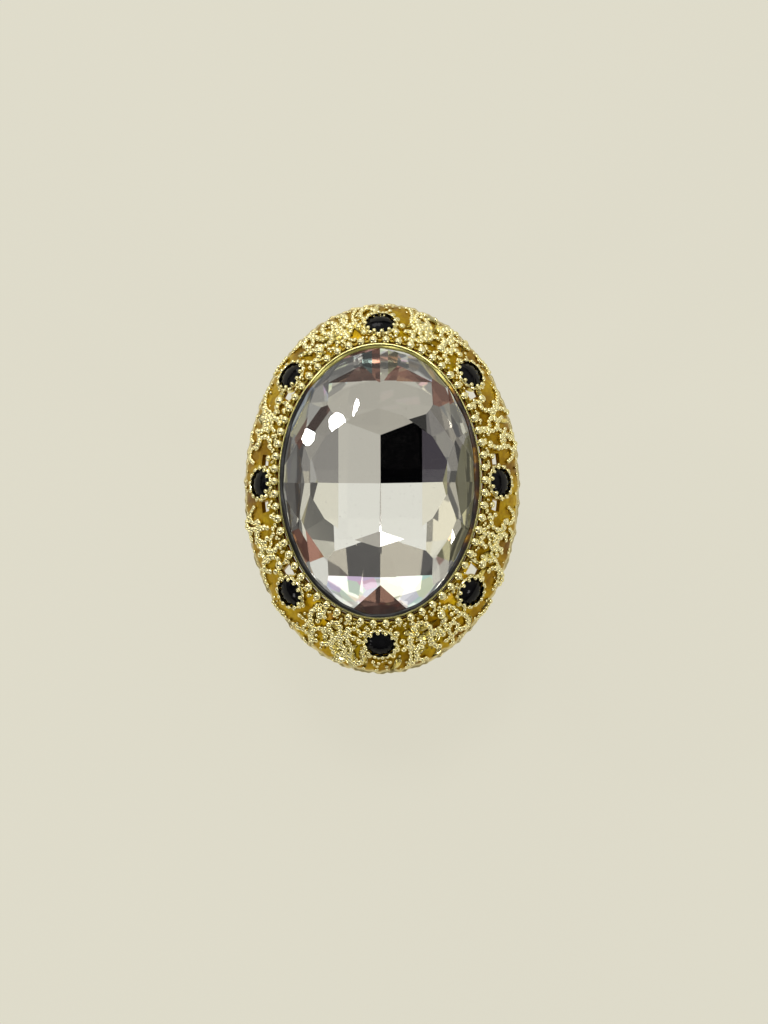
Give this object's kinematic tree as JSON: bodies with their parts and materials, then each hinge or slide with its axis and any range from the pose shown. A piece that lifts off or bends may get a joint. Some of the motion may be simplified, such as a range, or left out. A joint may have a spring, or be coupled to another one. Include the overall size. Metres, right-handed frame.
{
  "type": "cocktail ring",
  "caption": "Large domed cocktail ring with an oval faceted clear crystal, a granulated gold-tone frame set with small round black stones, and a tapered shank.",
  "frame": {"origin": "centre of the finger hole, midway across the shank", "axes": "+Y along the finger and along the oval head's long axis, +Z from the finger towards the crystal's table, X across the finger"},
  "size_m": [0.0256, 0.0348, 0.0289],
  "materials": {
    "gold_plate": "polished gold plate over brass",
    "crystal_glass": "clear polished facets",
    "silver_foil": "mirror foil behind the pavilion",
    "jet_glass": "opaque black, polished facets",
    "dark_cement": "matt dark setting cement"
  },
  "bodies": {
    "root": {"shank": "gold_plate", "bezel_cup": "gold_plate", "cement_ring": "dark_cement", "foil_backing": "silver_foil", "centre_crystal": "crystal_glass", "filigree_frame": "gold_plate", "beaded_border": "gold_plate", "accent_cup_1": "gold_plate", "accent_cup_2": "gold_plate", "accent_cup_3": "gold_plate", "accent_cup_4": "gold_plate", "accent_cup_5": "gold_plate", "accent_cup_6": "gold_plate", "accent_cup_7": "gold_plate", "accent_cup_8": "gold_plate", "accent_stone_1": "jet_glass", "accent_stone_2": "jet_glass", "accent_stone_3": "jet_glass", "accent_stone_4": "jet_glass", "accent_stone_5": "jet_glass", "accent_stone_6": "jet_glass", "accent_stone_7": "jet_glass", "accent_stone_8": "jet_glass"}
  },
  "joints": []
}
